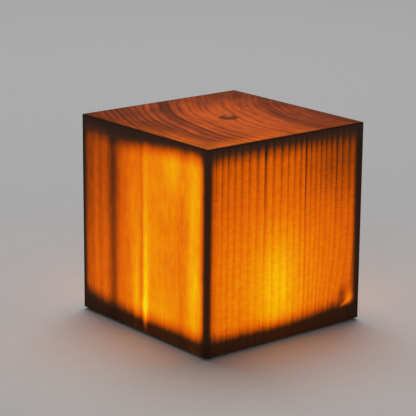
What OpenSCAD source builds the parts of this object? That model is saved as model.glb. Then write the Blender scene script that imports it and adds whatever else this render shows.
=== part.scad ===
// Table lamp made from one hollowed cube of softwood. A battery pod with a ring of light
// diodes stands on the base board inside it, and a push button sits in the top.
// Millimetres, +Z up. The origin is on the table, under the middle of the cube.
// The two show faces are -X and -Y. The charging port is in the +Y face.

/* [Timber cube] */
// Width of the cube, the same along X and Y
block_w = 100; // [96:1:150]
// Height of the timber, without the feet
block_h = 102; // [72:1:160]
// Thickness of the hollowed side walls
wall_t = 4.5; // [3:0.25:6]
// Thickness of the top left above the hollow
top_t = 7; // [5:0.5:10]
// Radius that the router leaves in the hollow's upright corners
hollow_r = 7; // [4:0.5:10]
// Width of the sanded bevel on the outer edges
edge_ease = 0.5; // [0.2:0.1:1.2]

/* [Base] */
// Thickness of the base board
base_t = 4; // [3.5:0.25:6]
// How far the base board sits up inside the timber's lower edge
base_recess = 0.4; // [0:0.1:1]
// Height of the corner posts that the base board is screwed to
post_h = 5; // [4:0.5:7]
// Side of a square corner post
post_w = 12; // [10:0.5:12.5]
// Distance from the hollow's wall to the middle of a base screw
base_screw_inset = 7; // [6:0.25:8]
// Shank radius of a base screw
base_screw_r = 1.5; // [1.2:0.1:1.8]
// Whole length of a base screw
base_screw_l = 8; // [6.8:0.2:8.6]
// Radius of a rubber foot
foot_r = 5; // [4:0.5:6]
// How far a foot stands below the timber
foot_proud = 1; // [0.6:0.1:2]
// Depth of the pocket that a foot is glued into
foot_pocket = 1.2; // [0.8:0.1:2]
// Distance from the hollow's wall to the middle of a foot
foot_inset = 15.5; // [14:0.5:18]

/* [Battery pod] */
// Room between the cell and the pod's side walls
side_room = 4.2; // [3:0.2:5]
// Room between the cell and the control board, for the battery's lead
lead_room = 2.4; // [2:0.2:4]
// Room under the pod's lid, above the cell and the connectors
top_room = 2.4; // [2.2:0.1:4]
// Thickness of the pod's walls
pod_wall = 1.8; // [1.4:0.1:2.4]
// Thickness of the pod's floor
pod_floor = 1.8; // [1.4:0.1:2.4]
// Thickness of the pod's lid
lid_t = 2.2; // [1.8:0.1:3]
// Radius of the pod's upright corners
pod_r = 3; // [2.4:0.2:4]
// Radius of the four screw posts in the pod
lid_post_r = 2.4; // [2.1:0.1:2.6]
// How far the screw ears stand out from the pod
ear_out = 7; // [6:0.25:8]
// Width of a screw ear
ear_w = 8; // [7:0.5:10]
// Thickness of a screw ear
ear_t = 2.4; // [1.8:0.2:3]
// Distance of the ears from the lamp's middle, along Y
ear_y = 18; // [12:1:24]
// Shank radius of the small screws
small_screw_r = 1; // [0.8:0.1:1.1]
// Head radius of the small screws
small_head_r = 1.9; // [1.7:0.1:2.1]
// Head height of the small screws
small_head_h = 1.2; // [1:0.1:1.4]
// Length of the small screws below the head
small_screw_l = 5; // [4:0.25:5.25]

/* [Battery] */
// Width of the flat cell, along X
cell_w = 50; // [40:1:52]
// Depth of the flat cell, along Y
cell_d = 33; // [26:1:34]
// Thickness of the flat cell
cell_t = 8; // [6:0.5:8.5]
// Thickness of the foam pad under the cell
pad_t = 0.8; // [0.5:0.1:1.2]

/* [Control board] */
// Width of the control board
board_w = 46; // [42:1:50]
// Depth of the control board
board_d = 30; // [28:0.5:31]
// Thickness of the control board
board_t = 1.6; // [1:0.2:1.8]
// Height of the pegs under the control board
peg_h = 3; // [2:0.25:3.5]
// Radius of the pegs under the control board
peg_r = 2.2; // [1.8:0.1:2.6]
// Distance from the board's edges to its screws
board_screw_inset = 3; // [2.6:0.1:4]
// Side of a lead connector on the board
plug_w = 4.6; // [4:0.2:5]
// Height of a lead connector on the board
plug_h = 4.4; // [3.6:0.2:4.6]

/* [Charging port] */
// Width of the metal charging socket
socket_w = 8.94; // [8.94:0.01:9.2]
// Height of the metal charging socket
socket_h = 3.16; // [3.16:0.01:3.4]
// Length of the metal charging socket
socket_l = 8; // [6.5:0.5:10]
// Sheet thickness of the metal charging socket
socket_t = 0.3; // [0.2:0.05:0.4]
// Width of the way in for a charging plug
port_w = 13.4; // [12.6:0.2:15]
// Height of the way in for a charging plug
port_h = 7.6; // [6.8:0.2:8.4]
// Wall thickness of the port's liner
liner_t = 1; // [0.8:0.1:1.4]
// How far the liner's flange reaches past its sleeve
liner_lip = 1.2; // [0.8:0.1:1.6]
// Thickness of the liner's flange
liner_lip_t = 0.9; // [0.6:0.1:1.2]

/* [Light] */
// Radius of the light board
light_board_r = 18.5; // [18:0.25:19]
// Thickness of the light board
light_board_t = 1.6; // [1:0.2:2]
// Number of light diodes in the ring
diode_count = 8; // [4:1:10]
// Radius of the ring of diodes
diode_ring_r = 10; // [8:0.5:10.5]
// Side of a light diode
diode_w = 3; // [2:0.5:3.5]
// Height of a light diode
diode_h = 0.8; // [0.6:0.1:1.2]
// Distance of the light board's screws and its lead from the middle
light_screw_ring_r = 15.4; // [15:0.1:15.8]
// Outer radius of the opal cap
cap_shell_r = 21.5; // [21:0.25:23]
// Height of the opal cap above the pod's lid
cap_shell_h = 14; // [12:0.5:18]
// Wall thickness of the opal cap
cap_shell_t = 1.4; // [1:0.1:1.8]
// Rounding of the opal cap's shoulder
cap_shell_round = 7; // [4:0.5:9]
// Depth of the groove that seats the opal cap
cap_groove = 0.8; // [0.5:0.1:1.2]

/* [Push button] */
// Place of the button along X
button_x = 3; // [-8:0.5:8]
// Place of the button along Y
button_y = -1.5; // [-8:0.5:8]
// Radius of the button's rim
rim_r = 4.8; // [4.6:0.1:6.5]
// Thickness of the button's rim
rim_t = 1.2; // [1:0.1:1.6]
// How far the rim stands above the timber
rim_proud = 0.3; // [0.1:0.1:0.6]
// Radius of the threaded barrel
barrel_r = 3.5; // [3.3:0.1:3.9]
// Length of the barrel below the timber's top
barrel_below = 3.5; // [3.2:0.1:5]
// Radius of the button itself
button_r = 2.1; // [1.8:0.1:2.6]
// How far the button stands above its rim
button_proud = 0.5; // [0.3:0.1:1]
// How far the button travels
button_travel = 1.5; // [0.8:0.1:1.8]
// Thickness of the washer on the barrel
washer_t = 0.6; // [0.4:0.1:0.8]
// Thickness of the nut on the barrel
nut_t = 2; // [1.6:0.1:2.2]
// Width of the nut across its corners
nut_w = 11; // [10:0.5:13]
// Radius of the switch body
switch_r = 4.6; // [4.4:0.1:5.5]
// Height of the switch body
switch_h = 10; // [9:0.5:12]
// Thickness of the switch body's wall and floor
switch_t = 1.2; // [1:0.1:1.3]
// Wire of the button's spring
spring_wire = 0.5; // [0.3:0.05:0.6]
// Mean radius of the button's spring
spring_r = 2.6; // [2.4:0.05:2.7]
// Turns of the button's spring
spring_turns = 5; // [4:1:6]

/* [Leads] */
// Thickness of the leads
lead_d = 1.2; // [0.8:0.1:1.4]
// Distance from the hollow's side walls to the switch lead's upright run
lead_x_inset = 10.5; // [9:0.5:14]
// Distance from the hollow's back wall and top to the switch lead
lead_off = 1.9; // [1.6:0.1:2.4]
// Length of a lead clip
clip_l = 5; // [4:0.5:8]
// Width of a lead clip
clip_w = 5; // [4:0.5:6]

/* [Clearances] */
// Gap round the base board in the hollow
board_gap = 0.3; // [0.2:0.05:0.5]
// Gap between the pod and the back wall
pod_gap = 0.4; // [0.3:0.05:0.8]
// Gap round a piece that is set into a recess
seat_gap = 0.1; // [0.05:0.05:0.2]
// Gap round a screw's shank where it only passes through
screw_gap = 0.2; // [0.1:0.05:0.4]
// Gap round a screw's shank or a barrel where it bites
bite_gap = 0.03; // [0.02:0.01:0.06]
// Gap round the button in its barrel
running_gap = 0.05; // [0.03:0.01:0.08]
// Glue line on the posts, clips and feet
glue_gap = 0.1; // [0.05:0.05:0.2]

/* [Hidden] */

// How far a cutting shape runs past the face that it cuts
past = 1;
// Facets asked for on true round shapes
round_fn = 64;

// Heights, from the table up
timber_z = foot_proud;
timber_top = timber_z + block_h;
hollow_top = timber_top - top_t;
base_z = timber_z + base_recess;
base_top = base_z + base_t;
foot_h = foot_proud + base_recess + foot_pocket - glue_gap;
pod_floor_top = base_top + pod_floor;
pod_room = max(pad_t + cell_t, peg_h + board_t + plug_h) + top_room;
lid_z = pod_floor_top + pod_room;
lid_top = lid_z + lid_t;
board_z = pod_floor_top + peg_h;
board_top = board_z + board_t;
plug_top = board_top + plug_h;
light_board_top = lid_top + light_board_t;
socket_z = board_top + socket_h / 2;

// The hollow and the base
hollow_w = block_w - 2 * wall_t;
hollow_half = hollow_w / 2;
base_w = hollow_w - 2 * board_gap;
base_screw_at = hollow_half - base_screw_inset;
base_head_r = base_screw_r * 1.9;
base_head_h = base_head_r - base_screw_r;
foot_at = hollow_half - foot_inset;

// How far a lid post sinks into the pod's walls, and how far it reaches from their outside
post_sink = 0.5;
lid_post_in = pod_wall + lid_post_r - post_sink;
lid_post_reach = lid_post_in + lid_post_r;

// The pod's back wall backs onto the cube's; board, lead, cell and posts follow to the front
inner_gap = 0.8;
pod_y1 = hollow_half - pod_gap;
board_y1 = pod_y1 - pod_wall - board_gap;
board_y0 = board_y1 - board_d;
board_mid_y = (board_y0 + board_y1) / 2;
cell_y1 = board_y0 - lead_room;
cell_y0 = cell_y1 - cell_d;
cell_z = pod_floor_top + pad_t;
pod_y0 = min(cell_y0 - inner_gap - lid_post_reach, -cap_shell_r - pod_r);
pod_d = pod_y1 - pod_y0;
pod_mid_y = (pod_y0 + pod_y1) / 2;
pod_w = max(cell_w + 2 * (side_room + pod_wall), board_w + 2 * (inner_gap + lid_post_reach));
lid_post_x = pod_w / 2 - lid_post_in;
lid_post_y = pod_d / 2 - lid_post_in;
ear_x = pod_w / 2 + ear_out / 2;

// Where the light's lead passes the lid and the light board
light_hole_turn = 105;
light_hole = light_screw_ring_r * [cos(light_hole_turn), sin(light_hole_turn)];

// Lead connectors: the battery's, the light's and the switch's
plug_y = board_y0 + plug_w / 2 + inner_gap;
battery_plug = [12, plug_y, board_top];
light_plug = [light_hole.x, plug_y, board_top];
switch_plug = [15, board_mid_y + 4, board_top];
under_lid = lid_z - lead_d / 2 - 0.2;

// The button: its barrel passes the top, and the switch body hangs on the barrel's end
rim_z = timber_top + rim_proud - rim_t;
barrel_end = hollow_top - barrel_below;
switch_z = barrel_end - switch_h;
switch_floor = switch_z + switch_t;
button_top = timber_top + rim_proud + button_proud;
collar_t = 1.5;
collar_r = button_r + 0.8;
collar_z = barrel_end - running_gap - collar_t;
contact_top = switch_floor + 0.6;
bridge_r = spring_r - spring_wire / 2 - 0.4;
bridge_t = 0.5;
bridge_z = contact_top + button_travel + running_gap;
pin_r = 1.1;
lug_x = 1.3;
lug_drop = 3;
sleeve_r = 3;
sleeve_z = switch_z - lug_drop - 1.2;

// The switch lead runs from the sleeve to the top, across to the back wall and down it
lead_x = hollow_half - lead_x_inset;
lead_y = hollow_half - lead_off;
lead_z = hollow_top - lead_off;
clip_hole = lead_d / 2 + glue_gap;
lead_bend = lead_d / 2;
lead_turn = 3.2;

// The charging port
liner_w = port_w + 2 * liner_t;
liner_h = port_h + 2 * liner_t;
lip_w = liner_w + 2 * liner_lip;
lip_h = liner_h + 2 * liner_lip;
lamp_hole_r = 0.75;
lamp_x = (socket_w / 2 + port_w / 2) / 2 + 0.2;

// ---------------------------------------------------------------- shared shapes

// A rectangle with round corners, centred
module round_rect(w, d, r) {
    square([w - 2 * r, d], center = true);
    square([w, d - 2 * r], center = true);
    for (sx = [-1, 1], sy = [-1, 1])
        translate([sx * (w / 2 - r), sy * (d / 2 - r)])
            circle(r = r, $fn = round_fn);
}

// A slot shape with half-round ends, centred
module slot_shape(w, h) {
    square([w - h, h], center = true);
    for (s = [-1, 1])
        translate([s * (w - h) / 2, 0])
            circle(d = h, $fn = round_fn);
}

// A rectangle with bevelled corners, centred
module bevel_rect(w, d, e) {
    polygon([[e - w / 2, -d / 2], [w / 2 - e, -d / 2], [w / 2, e - d / 2], [w / 2, d / 2 - e],
        [w / 2 - e, d / 2], [e - w / 2, d / 2], [-w / 2, d / 2 - e], [-w / 2, e - d / 2]]);
}

// A block with all twelve edges bevelled, standing on z = 0
module bevel_block(w, h, e) {
    intersection() {
        linear_extrude(h)
            bevel_rect(w, w, e);
        translate([0, w / 2, h / 2])
            rotate([90, 0, 0])
                linear_extrude(w)
                    bevel_rect(w, h, e);
        translate([-w / 2, 0, h / 2])
            rotate([90, 0, 90])
                linear_extrude(w)
                    bevel_rect(w, h, e);
    }
}

// A solid run along Y, from y0 to y1, at the charging port's middle
module along_port(y0, y1) {
    translate([0, y1, socket_z])
        rotate([90, 0, 0])
            linear_extrude(y1 - y0)
                children();
}

// A disc or rod at the button's place
module button_disc(r, z0, z1) {
    translate([button_x, button_y, z0])
        cylinder(r = r, h = z1 - z0, $fn = round_fn);
}

// Four copies, one in each corner at (x, y)
module four_at(x, y) {
    for (sx = [-1, 1], sy = [-1, 1])
        translate([sx * x, sy * y, 0])
            children();
}

// A small pan-head screw, its head's underside at z = 0
module small_screw(length) {
    translate([0, 0, -length])
        cylinder(r = small_screw_r, h = length, $fn = 32);
    difference() {
        cylinder(r = small_head_r, h = small_head_h, $fn = 48);
        cross_slot(small_head_r, small_head_h);
    }
}

// The cross cut in a screw's head
module cross_slot(head_r, head_h) {
    slot_w = head_r * 0.25;
    for (turn = [0, 90])
        rotate(turn)
            translate([0, 0, head_h])
                cube([head_r * 1.3, slot_w, head_h], center = true);
}

function unit(v) = v / norm(v);
function tangent(p, i) = unit(p[min(i + 1, len(p) - 1)] - p[max(i - 1, 0)]);
function square_to(u, t) = unit(u - t * (u * t));
// The side directions of a tube, carried from ring to ring without twisting
function carried(p, i, u) = i == len(p) ? []
    : let(v = square_to(u, tangent(p, i))) concat([v], carried(p, i + 1, v));

// A round tube of solid lead or wire along a list of points
module tube(p, d, sides) {
    ups = carried(p, 0, [0.35, 0.83, 0.44]);
    rings = [for (i = [0 : len(p) - 1], k = [0 : sides - 1])
        let(a = 360 * k / sides, side = cross(tangent(p, i), ups[i]))
        p[i] + (ups[i] * cos(a) + side * sin(a)) * d / 2];
    last = (len(p) - 1) * sides;
    walls = [for (i = [0 : len(p) - 2], k = [0 : sides - 1])
        let(a = i * sides + k, b = i * sides + (k + 1) % sides)
        [a, b, b + sides, a + sides]];
    ends = [[for (k = [0 : sides - 1]) sides - 1 - k], [for (k = [0 : sides - 1]) last + k]];
    polyhedron(rings, concat(walls, ends), convexity = 6);
}

// A route's corners rounded off: each one becomes a short curve that starts and ends r from it
function bend(a, b, c, r) = let(s = b - unit(b - a) * r, e = b + unit(c - b) * r)
    [for (t = [0 : 0.2 : 1.01]) s * (1 - t) * (1 - t) + b * 2 * t * (1 - t) + e * t * t];
function rounded(p, r) = concat([p[0]],
    [for (i = [1 : len(p) - 2]) each bend(p[i - 1], p[i], p[i + 1], r)], [p[len(p) - 1]]);

// ---------------------------------------------------------------- timber and base

module timber_cube() {
    color("sienna")
        difference() {
            translate([0, 0, timber_z])
                bevel_block(block_w, block_h, edge_ease);
            translate([0, 0, timber_z - past])
                linear_extrude(block_h - top_t + past)
                    round_rect(hollow_w, hollow_w, hollow_r);
            button_disc(rim_r + seat_gap, rim_z, timber_top + past);
            button_disc(barrel_r + seat_gap, hollow_top - past, timber_top);
            along_port(hollow_half - past, block_w / 2 + past)
                slot_shape(liner_w + 2 * seat_gap, liner_h + 2 * seat_gap);
            along_port(block_w / 2 - liner_lip_t, block_w / 2 + past)
                slot_shape(lip_w + 2 * seat_gap, lip_h + 2 * seat_gap);
        }
}

module corner_posts() {
    post_mid = hollow_half - post_w / 2;
    color("burlywood")
        translate([0, 0, base_top])
            difference() {
                linear_extrude(post_h)
                    intersection() {
                        round_rect(hollow_w - 2 * glue_gap, hollow_w - 2 * glue_gap,
                            hollow_r - glue_gap);
                        four_at(post_mid, post_mid)
                            square(post_w, center = true);
                    }
                translate([0, 0, -past])
                    four_at(base_screw_at, base_screw_at)
                        cylinder(r = base_screw_r + bite_gap, h = base_screw_l - base_t + past + 0.3,
                            $fn = 32);
            }
}

module base_board() {
    color("tan")
        difference() {
            translate([0, 0, base_z])
                linear_extrude(base_t)
                    round_rect(base_w, base_w, hollow_r - board_gap);
            translate([0, 0, base_z - past])
                four_at(foot_at, foot_at)
                    cylinder(r = foot_r + seat_gap, h = foot_pocket + past, $fn = round_fn);
            translate([0, 0, base_z]) {
                four_at(base_screw_at, base_screw_at) {
                    cylinder(r = base_screw_r + screw_gap, h = base_t + past, $fn = 32);
                    translate([0, 0, -past])
                        cylinder(r = base_head_r + screw_gap, h = past, $fn = 48);
                    cylinder(r1 = base_head_r + screw_gap, r2 = base_screw_r + screw_gap,
                        h = base_head_h, $fn = 48);
                }
            }
            translate([0, 0, base_top + ear_t - small_screw_l])
                four_at(ear_x, ear_y)
                    cylinder(r = small_screw_r + bite_gap, h = small_screw_l, $fn = 32);
        }
}

module base_screws() {
    color("dimgray")
        translate([0, 0, base_z])
            four_at(base_screw_at, base_screw_at)
                difference() {
                    union() {
                        cylinder(r = base_screw_r, h = base_screw_l, $fn = 32);
                        cylinder(r1 = base_head_r, r2 = base_screw_r, h = base_head_h, $fn = 48);
                    }
                    rotate([180, 0, 0])
                        translate([0, 0, -base_head_h])
                            cross_slot(base_head_r, base_head_h);
                }
}

module rubber_feet() {
    color("black")
        four_at(foot_at, foot_at)
            rotate_extrude($fn = round_fn)
                polygon([[0, 0], [foot_r - 0.5, 0], [foot_r, 0.5], [foot_r, foot_h], [0, foot_h]]);
}

// ---------------------------------------------------------------- battery pod

// The pod's outline, grown by a distance that may be negative
module pod_outline(grow) {
    translate([0, pod_mid_y])
        round_rect(pod_w + 2 * grow, pod_d + 2 * grow, pod_r + grow);
}

// The four places of the lid's screws
module at_lid_screws() {
    translate([0, pod_mid_y, 0])
        four_at(lid_post_x, lid_post_y)
            children();
}

// The four places of the control board's screws
module at_board_screws() {
    translate([0, board_mid_y, 0])
        four_at(board_w / 2 - board_screw_inset, board_d / 2 - board_screw_inset)
            children();
}

module pod_tray() {
    color("whitesmoke")
        difference() {
            union() {
                translate([0, 0, base_top])
                    difference() {
                        linear_extrude(pod_floor + pod_room)
                            pod_outline(0);
                        translate([0, 0, pod_floor])
                            linear_extrude(pod_room + past)
                                pod_outline(-pod_wall);
                    }
                translate([0, 0, base_top])
                    linear_extrude(pod_floor + pod_room)
                        intersection() {
                            pod_outline(-pod_wall / 2);
                            at_lid_screws()
                                circle(r = lid_post_r, $fn = 48);
                        }
                translate([0, 0, pod_floor_top - past / 2])
                    at_board_screws()
                        cylinder(r = peg_r, h = peg_h + past / 2, $fn = 48);
                translate([0, 0, base_top])
                    linear_extrude(ear_t)
                        four_at(ear_x - pod_wall / 4, ear_y)
                            round_rect(ear_out + pod_wall / 2, ear_w, ear_w / 4);
            }
            translate([0, 0, lid_top - small_screw_l - 0.3])
                at_lid_screws()
                    cylinder(r = small_screw_r + bite_gap, h = small_screw_l + past, $fn = 32);
            translate([0, 0, pod_floor_top - pod_floor / 2])
                at_board_screws()
                    cylinder(r = small_screw_r + bite_gap, h = peg_h + pod_floor, $fn = 32);
            translate([0, 0, base_top - past])
                four_at(ear_x, ear_y)
                    cylinder(r = small_screw_r + screw_gap, h = ear_t + 2 * past, $fn = 32);
            along_port(pod_y1 - pod_wall - past, pod_y1 + past)
                slot_shape(socket_w + 4 * seat_gap, socket_h + 4 * seat_gap);
            along_port(pod_y1 - pod_wall - past, pod_y1 + past)
                translate([lamp_x, 0])
                    circle(r = lamp_hole_r + seat_gap, $fn = 32);
        }
}

module tray_screws() {
    color("silver")
        translate([0, 0, base_top + ear_t])
            four_at(ear_x, ear_y)
                small_screw(small_screw_l - 0.3);
}

module pod_lid() {
    color("white")
        difference() {
            translate([0, 0, lid_z])
                linear_extrude(lid_t)
                    pod_outline(0);
            translate([0, 0, lid_top - cap_groove])
                difference() {
                    cylinder(r = cap_shell_r + seat_gap, h = cap_groove + past, $fn = round_fn);
                    translate([0, 0, -past])
                        cylinder(r = cap_shell_r - cap_shell_t - seat_gap,
                            h = cap_groove + 3 * past, $fn = round_fn);
                }
            translate([0, 0, lid_z - past]) {
                at_lid_screws()
                    cylinder(r = small_screw_r + screw_gap, h = lid_t + 2 * past, $fn = 32);
                for (place = [light_hole, switch_plug])
                    translate([place.x, place.y, 0])
                        cylinder(r = lead_d / 2 + 2 * screw_gap, h = lid_t + 2 * past, $fn = 32);
                at_light_screws()
                    cylinder(r = small_screw_r + bite_gap, h = lid_t + 2 * past, $fn = 32);
            }
        }
}

module lid_screws() {
    color("silver")
        translate([0, 0, lid_top])
            at_lid_screws()
                small_screw(small_screw_l);
}

module battery_cell() {
    color("lightsteelblue")
        translate([0, (cell_y0 + cell_y1) / 2, cell_z])
            linear_extrude(cell_t)
                round_rect(cell_w, cell_d, 1.5);
}

module battery_pad() {
    pad_in = 3;
    color("dimgray")
        translate([0, (cell_y0 + cell_y1) / 2, pod_floor_top])
            linear_extrude(pad_t)
                square([cell_w - 2 * pad_in, cell_d - 2 * pad_in], center = true);
}

// ---------------------------------------------------------------- control board

module control_board() {
    color("darkgreen")
        translate([0, board_mid_y, board_z])
            difference() {
                linear_extrude(board_t)
                    round_rect(board_w, board_d, 1);
                translate([0, 0, -past])
                    four_at(board_w / 2 - board_screw_inset, board_d / 2 - board_screw_inset)
                        cylinder(r = small_screw_r + screw_gap, h = board_t + 2 * past, $fn = 32);
            }
}

module board_screws() {
    color("silver")
        translate([0, 0, board_top])
            at_board_screws()
                small_screw(board_t + peg_h);
}

// A chip with its middle at (x, y) from the board's middle
module chip(x, y, w, d, h) {
    translate([x, board_mid_y + y, board_top + h / 2])
        cube([w, d, h], center = true);
}

module board_chips() {
    color("#202020") {
        chip(-4, 2, 6, 5, 1.2);
        chip(6, 4, 4, 4, 1);
        chip(-6, -5, 3, 1.6, 1.1);
        chip(4, -3, 3, 1.6, 1.1);
        chip(-17, -3, 2, 1.2, 0.9);
    }
}

module choke() {
    color("dimgray")
        translate([-14, board_mid_y + 4, board_top])
            difference() {
                linear_extrude(3.6)
                    round_rect(7, 7, 1.4);
                translate([0, 0, 3.2])
                    cylinder(r = 2.4, h = past, $fn = 48);
            }
}

module lead_connectors() {
    color("ivory")
        for (place = [battery_plug, light_plug, switch_plug])
            translate([place.x, place.y, place.z + plug_h / 2])
                cube([plug_w, plug_w, plug_h], center = true);
}

module charge_lamp() {
    lamp_back = 4.5;
    color("lightgreen") {
        along_port(board_y1 - lamp_back, pod_y1)
            translate([lamp_x, 0])
                circle(r = lamp_hole_r, $fn = 32);
        translate([lamp_x, board_y1 - lamp_back - 1, board_top + 1.2])
            cube([2, 2, 2.4], center = true);
    }
}

// ---------------------------------------------------------------- charging port

module charging_socket() {
    color("silver")
        difference() {
            along_port(pod_y1 - socket_l, pod_y1)
                slot_shape(socket_w, socket_h);
            along_port(pod_y1 - socket_l + socket_t, pod_y1 + past)
                slot_shape(socket_w - 2 * socket_t, socket_h - 2 * socket_t);
        }
}

module socket_tongue() {
    tongue_w = 6.7;
    tongue_t = 0.7;
    tongue_short = 1;
    color("#303030")
        along_port(pod_y1 - socket_l + socket_t, pod_y1 - tongue_short)
            square([tongue_w, tongue_t], center = true);
}

module port_liner() {
    color("#2a1c12")
        difference() {
            union() {
                along_port(hollow_half, block_w / 2)
                    slot_shape(liner_w, liner_h);
                along_port(block_w / 2 - liner_lip_t, block_w / 2)
                    slot_shape(lip_w, lip_h);
            }
            along_port(hollow_half - past, block_w / 2 + past)
                slot_shape(port_w, port_h);
        }
}

// ---------------------------------------------------------------- light

// The two places of the light board's screws, on the side away from the lead
module at_light_screws() {
    for (turn = [-30, 210])
        rotate(turn)
            translate([light_screw_ring_r, 0, 0])
                children();
}

module light_board() {
    color("white")
        translate([0, 0, lid_top])
            difference() {
                cylinder(r = light_board_r, h = light_board_t, $fn = round_fn);
                translate([0, 0, -past]) {
                    at_light_screws()
                        cylinder(r = small_screw_r + screw_gap, h = light_board_t + 2 * past,
                            $fn = 32);
                    translate([light_hole.x, light_hole.y, 0])
                        cylinder(r = lead_d / 2 + 2 * screw_gap, h = light_board_t + 2 * past,
                            $fn = 32);
                }
            }
}

module light_board_screws() {
    color("silver")
        translate([0, 0, light_board_top])
            at_light_screws()
                small_screw(light_board_t + lid_t);
}

module light_diodes() {
    color("gold")
        for (i = [0 : diode_count - 1])
            rotate((i + 0.5) * 360 / diode_count)
                translate([diode_ring_r, 0, light_board_top + diode_h / 2])
                    cube([diode_w, diode_w, diode_h], center = true);
}

// Half of the opal cap's outline, in its own radius, height and rounding
module cap_half(r, h, f) {
    square([r - f, h]);
    square([r, h - f]);
    intersection() {
        translate([r - f, h - f])
            circle(r = f, $fn = round_fn);
        square([r, h]);
    }
}

module opal_cap() {
    color("ivory")
        translate([0, 0, lid_top - cap_groove])
            rotate_extrude($fn = round_fn)
                difference() {
                    cap_half(cap_shell_r, cap_shell_h + cap_groove, cap_shell_round);
                    translate([0, -past])
                        cap_half(cap_shell_r - cap_shell_t,
                            cap_shell_h + cap_groove - cap_shell_t + past,
                            cap_shell_round - cap_shell_t);
                }
}

// ---------------------------------------------------------------- leads

module battery_lead() {
    gap_y = cell_y1 + lead_room / 2;
    cell_mid_z = cell_z + cell_t / 2;
    route = [[battery_plug.x, cell_y1, cell_mid_z], [battery_plug.x, gap_y, cell_mid_z],
        [battery_plug.x, gap_y, under_lid], [battery_plug.x, battery_plug.y, under_lid],
        [battery_plug.x, battery_plug.y, plug_top]];
    color("firebrick")
        tube(rounded(route, lead_bend), lead_d, 8);
}

module light_lead() {
    over = light_board_top + lead_d;
    pad = light_hole * 0.8;
    route = [[light_plug.x, light_plug.y, plug_top], [light_plug.x, light_plug.y, under_lid],
        [light_hole.x, light_hole.y, under_lid], [light_hole.x, light_hole.y, over],
        [pad.x, pad.y, over], [pad.x, pad.y, light_board_top]];
    color("firebrick")
        tube(rounded(route, lead_bend), lead_d, 8);
}

module switch_lead() {
    loop_x = button_x + 12;
    low = sleeve_z - 1.5 * lead_turn;
    over = lid_top + 1.5 * lead_d;
    route = [[button_x, button_y, sleeve_z], [button_x, button_y, low], [loop_x, button_y, low],
        [loop_x, button_y, lead_z], [lead_x, button_y, lead_z], [lead_x, lead_y, lead_z],
        [lead_x, lead_y, over + 2 * lead_turn], [switch_plug.x + 8, switch_plug.y, over],
        [switch_plug.x, switch_plug.y, over], [switch_plug.x, switch_plug.y, plug_top]];
    color("#3a3a3a")
        tube(rounded(route, lead_turn), lead_d, 8);
}

module lead_clips() {
    clip_out = lead_off + clip_hole + 0.8;
    upright = lead_z - lid_top;
    color("white") {
        for (share = [0.3, 0.75])
            translate([lead_x, 0, lid_top + upright * share])
                difference() {
                    translate([-clip_w / 2, hollow_half - clip_out, -clip_l / 2])
                        cube([clip_w, clip_out - glue_gap, clip_l]);
                    translate([0, lead_y, -clip_l])
                        cylinder(r = clip_hole, h = 2 * clip_l, $fn = 32);
                }
        translate([lead_x, hollow_half / 2, 0])
            difference() {
                translate([-clip_w / 2, -clip_l / 2, hollow_top - clip_out])
                    cube([clip_w, clip_l, clip_out - glue_gap]);
                translate([0, clip_l, lead_z])
                    rotate([90, 0, 0])
                        cylinder(r = clip_hole, h = 2 * clip_l, $fn = 32);
            }
    }
}

module lug_sleeve() {
    wall_under = 0.6;
    color("black")
        difference() {
            button_disc(sleeve_r, sleeve_z, switch_z);
            button_disc(sleeve_r - wall_under, sleeve_z + wall_under, switch_z + past);
        }
}

// ---------------------------------------------------------------- push button

module button_rim() {
    color("#2b1c16")
        translate([button_x, button_y, 0])
            rotate_extrude($fn = round_fn)
                polygon([[button_r + running_gap, barrel_end], [barrel_r, barrel_end],
                    [barrel_r, rim_z], [rim_r, rim_z], [rim_r, rim_z + rim_t - rim_proud],
                    [rim_r - rim_proud, rim_z + rim_t], [button_r + running_gap, rim_z + rim_t]]);
}

module barrel_washer() {
    color("silver")
        difference() {
            button_disc(nut_w / 2 + 0.5, hollow_top - washer_t, hollow_top);
            button_disc(barrel_r + bite_gap, hollow_top - washer_t - past, hollow_top + past);
        }
}

module barrel_nut() {
    color("goldenrod")
        difference() {
            translate([button_x, button_y, hollow_top - washer_t - nut_t])
                cylinder(d = nut_w, h = nut_t, $fn = 6);
            button_disc(barrel_r + bite_gap, hollow_top - washer_t - nut_t - past, hollow_top);
        }
}

module switch_body() {
    color("#1d1d1d")
        difference() {
            button_disc(switch_r, switch_z, barrel_end);
            button_disc(switch_r - switch_t, switch_floor, barrel_end + past);
            for (s = [-1, 1])
                translate([button_x + s * lug_x, button_y, switch_z])
                    cube([0.5 + 2 * bite_gap, 1.2 + 2 * bite_gap, 3 * switch_t], center = true);
        }
}

module switch_contacts() {
    color("goldenrod")
        for (s = [-1, 1])
            translate([button_x + s * lug_x, button_y, 0]) {
                translate([-0.25, -0.6, switch_z - lug_drop])
                    cube([0.5, 1.2, lug_drop + switch_t]);
                translate([-0.4, -0.6, switch_floor])
                    cube([0.8, 1.2, contact_top - switch_floor]);
            }
}

module button_spring() {
    low = switch_floor + spring_wire / 2 + running_gap;
    high = collar_z - spring_wire / 2 - running_gap;
    steps = 12;
    coil = [for (i = [0 : spring_turns * steps])
        let(a = 360 * i / steps, rise = i / (spring_turns * steps))
        [button_x + spring_r * cos(a), button_y + spring_r * sin(a), low + (high - low) * rise]];
    color("lightgray")
        tube(coil, spring_wire, 6);
}

module button_cap() {
    dish = 0.25;
    color("#8a5a3c")
        translate([button_x, button_y, 0])
            rotate_extrude($fn = round_fn)
                polygon([[0, bridge_z + bridge_t], [pin_r, bridge_z + bridge_t], [pin_r, collar_z],
                    [collar_r, collar_z], [collar_r, collar_z + collar_t],
                    [button_r, collar_z + collar_t], [button_r, button_top - dish],
                    [button_r - dish, button_top], [button_r * 0.6, button_top],
                    [0, button_top - dish]]);
}

module contact_bridge() {
    color("gold")
        button_disc(bridge_r, bridge_z, bridge_z + bridge_t);
}

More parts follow.
